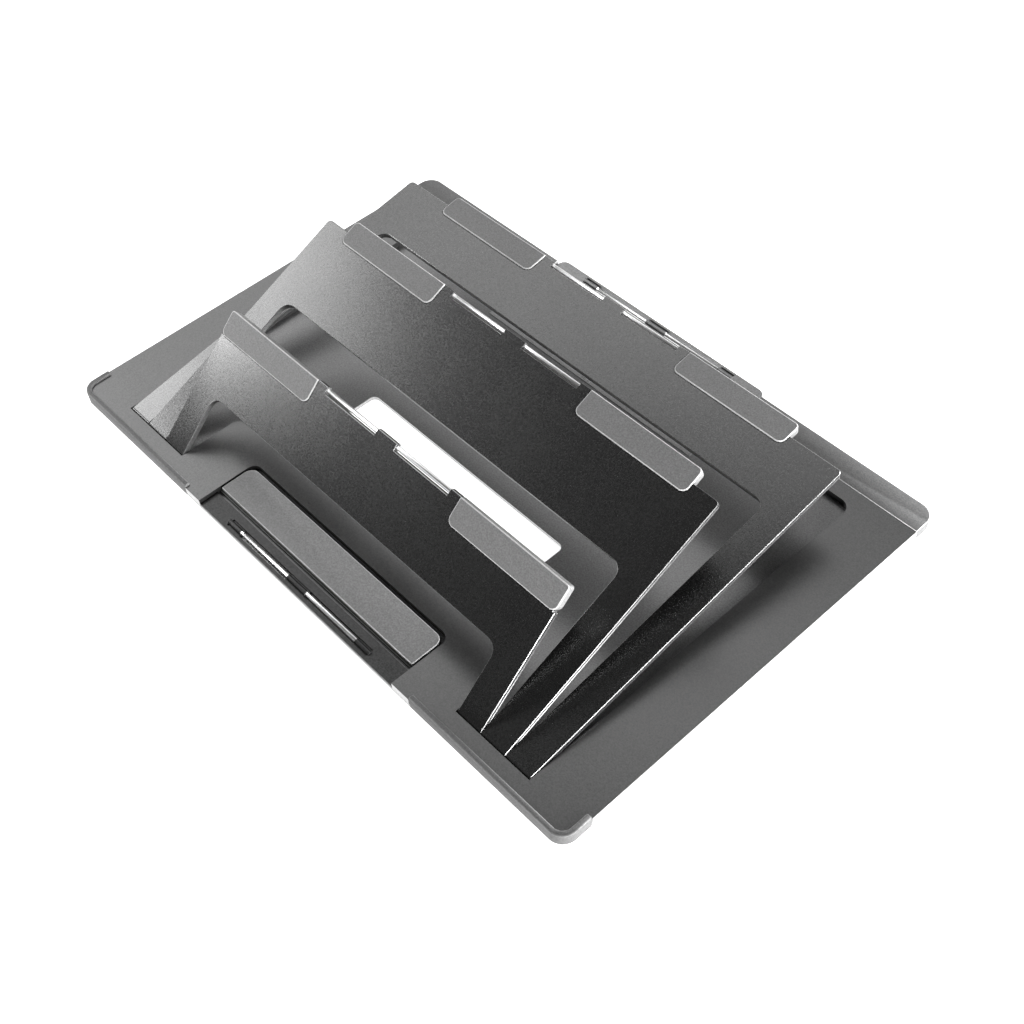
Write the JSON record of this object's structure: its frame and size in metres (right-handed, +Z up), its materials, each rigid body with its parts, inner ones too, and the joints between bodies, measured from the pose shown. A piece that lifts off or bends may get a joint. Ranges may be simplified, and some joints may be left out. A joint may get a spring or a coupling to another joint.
{
  "type": "laptop stand",
  "caption": "Thin fold-flat laptop stand: a rectangular base plate with nested U-shaped leaves on one front hinge, rubber grip pads and steel catch pins.",
  "frame": {"origin": "centre of the plate's underside", "axes": "+X along the hinge axis to the user's right, +Y from the front lips to the back, +Z up"},
  "size_m": [0.33, 0.2237, 0.0595],
  "materials": {
    "plate_metal": "charcoal anodised, satin, finely grained",
    "leaf_metal": "charcoal anodised, satin, finely grained",
    "grip_rubber": "matt grey, fine texture",
    "pin_steel": "bright, polished along its length",
    "sleeve_polymer": "black acetal"
  },
  "bodies": {
    "base": {"top_frame": "plate_metal", "bottom_panel": "plate_metal", "front_lip_left": "grip_rubber", "front_lip_right": "grip_rubber", "rear_grip_left": "grip_rubber", "rear_grip_right": "grip_rubber", "front_catch_plate": "plate_metal", "front_catch_pin": "pin_steel", "front_pad_plate": "plate_metal", "front_grip_pad": "grip_rubber", "rear_catch_plate": "plate_metal", "rear_catch_pin": "pin_steel", "rear_plate_rivets": "pin_steel", "hinge_pin_left": "pin_steel", "hinge_pin_right": "pin_steel"},
    "small_leaf": {"leaf_small": "leaf_metal", "leaf_small_pad_left": "grip_rubber", "leaf_small_pad_right": "grip_rubber", "leaf_small_catch_pin": "pin_steel", "leaf_small_sleeve_left": "sleeve_polymer", "leaf_small_sleeve_right": "sleeve_polymer"},
    "medium_leaf": {"leaf_medium": "leaf_metal", "leaf_medium_pad_left": "grip_rubber", "leaf_medium_pad_right": "grip_rubber", "leaf_medium_catch_pin": "pin_steel", "leaf_medium_sleeve_left": "sleeve_polymer", "leaf_medium_sleeve_right": "sleeve_polymer"},
    "large_leaf": {"leaf_large": "leaf_metal", "leaf_large_pad_left": "grip_rubber", "leaf_large_pad_right": "grip_rubber", "leaf_large_catch_pin": "pin_steel", "leaf_large_sleeve_left": "sleeve_polymer", "leaf_large_sleeve_right": "sleeve_polymer"}
  },
  "joints": [
    {"name": "small_leaf_hinge", "type": "hinge", "parent": "base", "child": "small_leaf", "pos_m": [0, -0.0985, 0.0042], "axis": [1, 0, 0], "range_deg": [-43, 57]},
    {"name": "medium_leaf_hinge", "type": "hinge", "parent": "base", "child": "medium_leaf", "pos_m": [0, -0.0985, 0.0042], "axis": [1, 0, 0], "range_deg": [-23.6, 76.4]},
    {"name": "large_leaf_hinge", "type": "hinge", "parent": "base", "child": "large_leaf", "pos_m": [0, -0.0985, 0.0042], "axis": [1, 0, 0], "range_deg": [-10.1, 89.9]}
  ]
}
